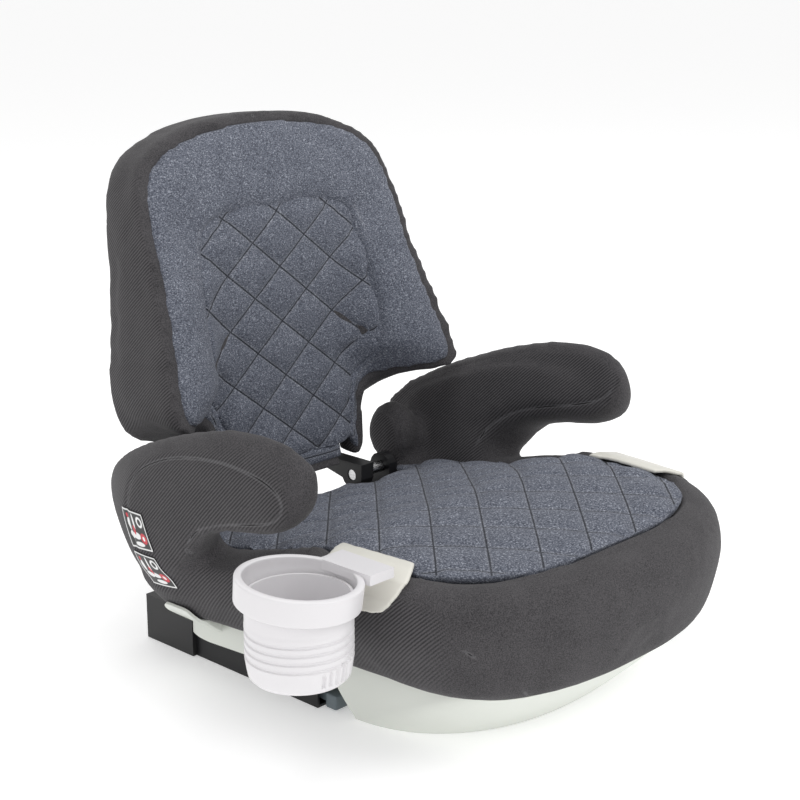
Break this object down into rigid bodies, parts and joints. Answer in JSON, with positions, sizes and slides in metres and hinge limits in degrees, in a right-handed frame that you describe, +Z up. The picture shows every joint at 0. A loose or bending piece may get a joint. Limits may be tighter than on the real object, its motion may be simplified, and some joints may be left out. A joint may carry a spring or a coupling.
{
  "type": "booster seat",
  "caption": "Low-back child booster seat with padded seat, open armrests, short hinged backrest, belt guides, rear anchor connectors and a lift-off cup holder.",
  "frame": {"origin": "centre of the underside of the cross plate between the anchor rails, on the surface the seat stands on", "axes": "+X to the child's left, -Y to the front, +Z up"},
  "size_m": [0.5044, 0.4871, 0.438],
  "materials": {
    "shell_white": "satin moulded",
    "guide_cream": "satin moulded",
    "cup_white": "satin moulded",
    "charcoal_fabric": "woven twill",
    "melange_fabric": "speckled melange",
    "foam": "open-cell foam",
    "black_plastic": "matte",
    "gloss_black": "gloss",
    "black_steel": "satin black",
    "steel": "zinc plated",
    "knob_grey": "matte",
    "label": "printed film"
  },
  "bodies": {
    "seat": {"base_shell": "shell_white", "seat_pan": "black_plastic", "cross_plate": "black_steel", "rear_cross_tube": "black_steel", "seat_foam": "foam", "seat_side_cover": "charcoal_fabric", "seat_cushion": "melange_fabric", "side_label": "label", "isofix_rail_left": "black_steel", "isofix_housing_left": "black_plastic", "rail_spacer_left_1": "black_plastic", "rail_spacer_left_2": "black_plastic", "armrest_frame_left": "black_plastic", "armrest_cover_left": "charcoal_fabric", "belt_guide_left": "guide_cream", "hinge_bracket_left": "black_steel", "pivot_pin_left": "steel", "pivot_cap_left": "gloss_black", "cap_screw_left": "steel", "isofix_rail_right": "black_steel", "isofix_housing_right": "black_plastic", "rail_spacer_right_1": "black_plastic", "rail_spacer_right_2": "black_plastic", "armrest_frame_right": "black_plastic", "armrest_cover_right": "charcoal_fabric", "belt_guide_right": "guide_cream", "hinge_bracket_right": "black_steel", "pivot_pin_right": "steel", "pivot_cap_right": "gloss_black", "cap_screw_right": "steel"},
    "backrest": {"backrest_shell": "black_plastic", "backrest_foam": "foam", "backrest_side_cover": "charcoal_fabric", "backrest_cushion": "melange_fabric", "backrest_quilt": "melange_fabric", "back_screw_1": "steel", "back_screw_2": "steel", "back_screw_3": "steel", "back_screw_4": "steel"},
    "cup_holder": {"cup_ring": "cup_white", "cup_body": "cup_white"},
    "connector_left": {"connector_arm_left": "steel", "connector_case_left": "black_plastic", "jaw_pin_left": "steel", "button_spring_left": "steel"},
    "jaw_left": {"connector_jaw_left": "steel"},
    "button_left": {"release_button_left": "knob_grey"},
    "knob_left": {"adjuster_knob_left": "knob_grey"},
    "connector_right": {"connector_arm_right": "steel", "connector_case_right": "black_plastic", "jaw_pin_right": "steel", "button_spring_right": "steel"},
    "jaw_right": {"connector_jaw_right": "steel"},
    "button_right": {"release_button_right": "knob_grey"},
    "knob_right": {"adjuster_knob_right": "knob_grey"}
  },
  "joints": [
    {"name": "backrest_recline", "type": "hinge", "parent": "seat", "child": "backrest", "pos_m": [0, 0.15, 0.105], "axis": [-1, 0, 0], "range_deg": [0, 18]},
    {"name": "cup_holder_lift", "type": "slide", "parent": "seat", "child": "cup_holder", "axis": [0, 0, 1], "range_m": [0, 0.06]},
    {"name": "isofix_extend_left", "type": "slide", "parent": "seat", "child": "connector_left", "axis": [0, 1, 0], "range_m": [0, 0.08]},
    {"name": "jaw_open_left", "type": "hinge", "parent": "connector_left", "child": "jaw_left", "pos_m": [0.14, 0.158, 0.021], "axis": [1, 0, 0], "range_deg": [0, 20], "stiffness_Nm_per_rad": 0.05, "springref_deg": -11.46},
    {"name": "release_press_left", "type": "slide", "parent": "connector_left", "child": "button_left", "axis": [0, 0, -1], "range_m": [0, 0.003], "stiffness_N_per_m": 300, "springref_m": -0.001, "deforming": ["button_spring_left"]},
    {"name": "knob_press_left", "type": "slide", "parent": "seat", "child": "knob_left", "axis": [0, 1, 0], "range_m": [0, 0.004], "stiffness_N_per_m": 300, "springref_m": -0.001},
    {"name": "isofix_extend_right", "type": "slide", "parent": "seat", "child": "connector_right", "axis": [0, 1, 0], "range_m": [0, 0.08]},
    {"name": "jaw_open_right", "type": "hinge", "parent": "connector_right", "child": "jaw_right", "pos_m": [-0.14, 0.158, 0.021], "axis": [1, 0, 0], "range_deg": [0, 20], "stiffness_Nm_per_rad": 0.05, "springref_deg": -11.46},
    {"name": "release_press_right", "type": "slide", "parent": "connector_right", "child": "button_right", "axis": [0, 0, -1], "range_m": [0, 0.003], "stiffness_N_per_m": 300, "springref_m": -0.001, "deforming": ["button_spring_right"]},
    {"name": "knob_press_right", "type": "slide", "parent": "seat", "child": "knob_right", "axis": [0, 1, 0], "range_m": [0, 0.004], "stiffness_N_per_m": 300, "springref_m": -0.001}
  ]
}
